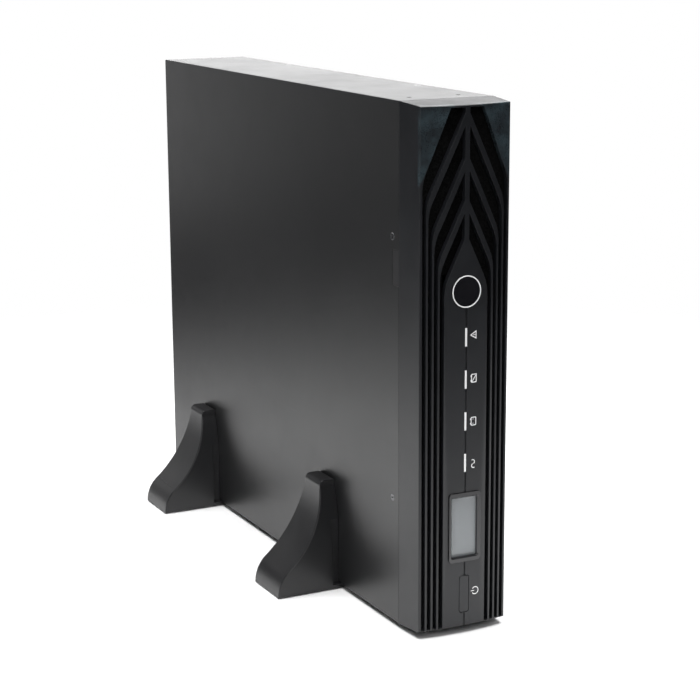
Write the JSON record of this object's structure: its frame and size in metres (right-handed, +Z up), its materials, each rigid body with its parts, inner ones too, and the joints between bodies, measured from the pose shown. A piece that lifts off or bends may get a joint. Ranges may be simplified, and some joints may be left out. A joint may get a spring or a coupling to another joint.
{
  "type": "uninterruptible power supply",
  "caption": "Slim upright power-backup unit in a sheet-metal case with a louvred plastic front, display, power button, rear outlets and fans, on stand feet with a slide-out battery drawer.",
  "frame": {"origin": "centre of the overall box, at the floor under the stand feet", "axes": "+X towards the unit's right side seen from the front, +Y from the front bezel to the rear panel, +Z up"},
  "size_m": [0.2086, 0.55, 0.442],
  "materials": {
    "sheet_black": "satin powder coat",
    "zinc": "zinc plated",
    "screw_black": "black oxide",
    "bezel_black": "fine texture",
    "latch_grey": "fine texture",
    "gloss_black": "gloss",
    "foam": "open foam",
    "lcd_glass": "clear",
    "lcd_panel": "unlit display",
    "white_print": "printed white",
    "light_pipe": "translucent",
    "board_green": "solder mask",
    "connector": "natural nylon",
    "black_plastic": "moulded",
    "battery_case": "moulded",
    "tin": "tinned",
    "wire_red": "insulated",
    "wire_brown": "insulated",
    "ribbon_grey": "ribbon",
    "aluminium": "extruded",
    "capacitor": "sleeved can",
    "copper": "enamelled copper",
    "core_iron": "laminated",
    "relay": "moulded",
    "pad_rubber": "soft",
    "strip": "low friction",
    "brass": "turned"
  },
  "bodies": {
    "stands": {"stand_front_left": "black_plastic", "stand_front_right": "black_plastic", "stand_rear_left": "black_plastic", "stand_rear_right": "black_plastic", "stand_pads": "pad_rubber"},
    "bezel": {"bezel": "bezel_black", "dust_filter": "foam", "lcd_frame": "gloss_black", "lcd_lens": "lcd_glass", "lcd_module": "lcd_panel", "tact_switch": "black_plastic", "light_pipes": "light_pipe", "display_board": "board_green", "board_screws": "zinc", "display_plug": "connector"},
    "latch": {"bezel_latch": "latch_grey"},
    "power_button": {"power_button": "bezel_black"},
    "badge": {"badge_disc": "gloss_black", "badge_ring": "white_print"},
    "battery_drawer": {"battery_tray": "zinc", "batteries": "battery_case", "battery_terminals": "tin", "battery_links": "wire_red", "battery_plug": "black_plastic", "tray_handle": "black_plastic", "tray_screws": "zinc"},
    "rotor_upper": {"fan_rotor_upper": "black_plastic"},
    "rotor_lower": {"fan_rotor_lower": "black_plastic"},
    "breaker_button": {"breaker_button": "gloss_black"},
    "chassis": {"ac_inlet": "black_plastic", "base_tray": "sheet_black", "battery_port": "latch_grey", "battery_socket": "black_plastic", "bay_partition": "zinc", "board_standoffs": "brass", "breaker_body": "black_plastic", "bus_capacitors": "capacitor", "cover": "sheet_black", "cover_screws": "screw_black", "display_socket": "connector", "earth_stud": "brass", "fan_frames": "black_plastic", "fan_guards": "zinc", "heatsinks": "aluminium", "inductors": "copper", "io_board": "board_green", "main_board": "board_green", "mains_wires": "wire_brown", "outlets": "black_plastic", "power_transistors": "black_plastic", "rear_panel": "sheet_black", "rear_screws": "zinc", "relays": "relay", "ribbon_cable": "ribbon_grey", "runner_strips": "strip", "serial_port": "tin", "slot_cover": "sheet_black", "transformer": "core_iron", "transformer_winding": "copper", "usb_port": "tin"}
  },
  "joints": [
    {"name": "unit_lift", "type": "slide", "parent": "stands", "child": "chassis", "axis": [0, 0, 1], "range_m": [0, 0.11]},
    {"name": "battery_slide", "type": "slide", "parent": "chassis", "child": "battery_drawer", "axis": [0, -1, 0], "range_m": [0, 0.32]},
    {"name": "bezel_pull", "type": "slide", "parent": "chassis", "child": "bezel", "axis": [0, -1, 0], "range_m": [0, 0.4]},
    {"name": "button_press", "type": "slide", "parent": "bezel", "child": "power_button", "axis": [0, 1, 0], "range_m": [0, 0.0015], "stiffness_N_per_m": 300},
    {"name": "badge_turn", "type": "hinge", "parent": "bezel", "child": "badge", "pos_m": [0, -0.2742, 0.2906], "axis": [0, 1, 0], "range_deg": [0, 90]},
    {"name": "latch_press", "type": "hinge", "parent": "bezel", "child": "latch", "pos_m": [-0.0368, -0.254, 0.307], "axis": [0, 0, -1], "range_deg": [0, 5], "stiffness_Nm_per_rad": 0.5},
    {"name": "fan_upper_spin", "type": "hinge", "parent": "chassis", "child": "rotor_upper", "pos_m": [0, 0.2528, 0.392], "axis": [0, 1, 0], "continuous": true},
    {"name": "fan_lower_spin", "type": "hinge", "parent": "chassis", "child": "rotor_lower", "pos_m": [0, 0.2528, 0.304], "axis": [0, 1, 0], "continuous": true},
    {"name": "breaker_trip", "type": "slide", "parent": "chassis", "child": "breaker_button", "axis": [0, 1, 0], "range_m": [0, 0.003], "stiffness_N_per_m": 300}
  ],
  "couplings": [
    {"joint": "bezel_pull", "follows": "battery_slide", "ratio": 1.25}
  ]
}
